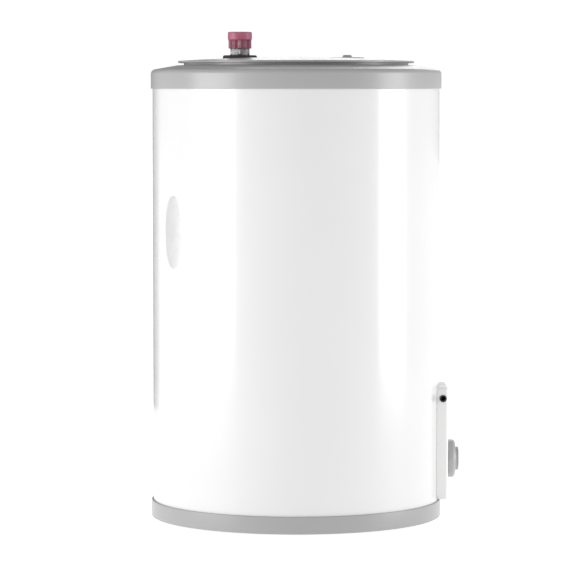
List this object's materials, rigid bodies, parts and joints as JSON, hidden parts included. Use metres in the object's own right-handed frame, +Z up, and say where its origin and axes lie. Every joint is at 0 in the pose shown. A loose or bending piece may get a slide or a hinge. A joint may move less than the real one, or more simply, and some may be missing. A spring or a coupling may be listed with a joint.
{
  "type": "tank water heater",
  "caption": "Floor-standing electric storage water heater: insulated cylinder with domed top, hot outlet on top, side inlet, drain and relief valves, and a control box with a dial.",
  "frame": {"origin": "on the floor under the middle of the base, on the tank's axis", "axes": "+Z up, controls at the front towards -Y, water connections towards +X"},
  "size_m": [0.4736, 0.4348, 0.6844],
  "materials": {
    "white_enamel": "gloss",
    "white_plastic": "gloss",
    "grey_plastic": "satin",
    "dark_grey_plastic": "satin",
    "black_rubber": "matte",
    "red_plastic": "satin",
    "blue_plastic": "satin",
    "zinc_steel": "satin",
    "tank_enamel": "gloss",
    "black_steel": "matte",
    "brass": "satin",
    "chrome": "polished",
    "copper": "satin",
    "magnesium": "matte",
    "polyurethane_foam": "matte",
    "polystyrene_foam": "matte",
    "amber_lens": "gloss",
    "black_phenolic": "satin",
    "cream_phenolic": "satin",
    "ceramic": "satin",
    "wire_insulation": "satin",
    "silver_badge": "satin"
  },
  "bodies": {
    "heater": {"base_pan": "grey_plastic", "rubber_feet": "black_rubber", "base_screws": "zinc_steel", "base_insulation": "polystyrene_foam", "tank_stand": "black_steel", "jacket": "white_enamel", "top_cover": "grey_plastic", "top_lid": "grey_plastic", "lid_screws": "zinc_steel", "anode_access_cap": "grey_plastic", "label_badge": "silver_badge", "cold_inlet_ring": "blue_plastic", "foam_insulation": "polyurethane_foam", "foam_dam": "white_plastic", "tank_shell": "tank_enamel", "tank_top_head": "tank_enamel", "tank_bottom_head": "tank_enamel", "top_sockets": "zinc_steel", "cold_inlet_socket": "zinc_steel", "inlet_diffuser": "cream_phenolic", "drain_socket": "zinc_steel", "relief_socket": "zinc_steel", "hot_nipple": "zinc_steel", "hot_grommet": "black_rubber", "heat_trap": "cream_phenolic", "anode_plug": "zinc_steel", "anode_rod": "magnesium", "drain_valve_body": "brass", "relief_valve_body": "brass", "relief_valve_probe": "copper", "relief_valve_spring": "zinc_steel", "relief_valve_bonnet": "brass", "control_cover": "white_plastic", "control_cover_screws": "zinc_steel", "cable_gland": "black_rubber", "pilot_lamp": "amber_lens", "thermostat_body": "black_phenolic", "thermostat_bracket": "zinc_steel", "thermostat_bulb": "copper", "safety_cutout": "black_phenolic", "reset_spring": "zinc_steel", "terminal_block": "cream_phenolic", "earth_stud": "brass", "element_boss": "tank_enamel", "element_gasket": "black_rubber", "element_flange": "zinc_steel", "element_bolts": "zinc_steel", "heating_element": "copper", "element_terminals": "ceramic", "sensor_pocket": "copper", "internal_wiring": "wire_insulation"},
    "thermostat_dial": {"control_knob": "dark_grey_plastic", "thermostat_spindle": "zinc_steel"},
    "cutout_button": {"reset_button": "red_plastic"},
    "relief_stem": {"relief_valve_stem": "brass"},
    "relief_lever": {"relief_valve_lever": "chrome"},
    "drain_handle": {"drain_valve_ball": "chrome", "drain_valve_handle": "blue_plastic"},
    "hot_cap": {"hot_outlet_cap": "red_plastic"}
  },
  "joints": [
    {"name": "dial_turn", "type": "hinge", "parent": "heater", "child": "thermostat_dial", "pos_m": [0, -0.2147, 0.0814], "axis": [0, -1, 0], "range_deg": [0, 270]},
    {"name": "reset_press", "type": "slide", "parent": "heater", "child": "cutout_button", "axis": [0, 1, 0], "range_m": [0, 0.0015], "stiffness_N_per_m": 600, "springref_m": -0.001, "deforming": ["reset_spring"]},
    {"name": "lever_turn", "type": "hinge", "parent": "relief_stem", "child": "relief_lever", "pos_m": [0.262, 0, 0.5], "axis": [0, 1, 0], "range_deg": [0, 85]},
    {"name": "stem_lift", "type": "slide", "parent": "heater", "child": "relief_stem", "axis": [1, 0, 0], "range_m": [0, 0.0035], "stiffness_N_per_m": 200, "springref_m": -0.002, "deforming": ["relief_valve_spring"]},
    {"name": "drain_turn", "type": "hinge", "parent": "heater", "child": "drain_handle", "pos_m": [0.17651, -0.13791, 0.082], "axis": [0, 0, 1], "range_deg": [0, 90]},
    {"name": "cap_pull", "type": "slide", "parent": "heater", "child": "hot_cap", "axis": [0, 0, 1], "range_m": [0, 0.04]}
  ],
  "couplings": [
    {"joint": "stem_lift", "follows": "lever_turn", "m_per_rad": 0.0022918}
  ]
}
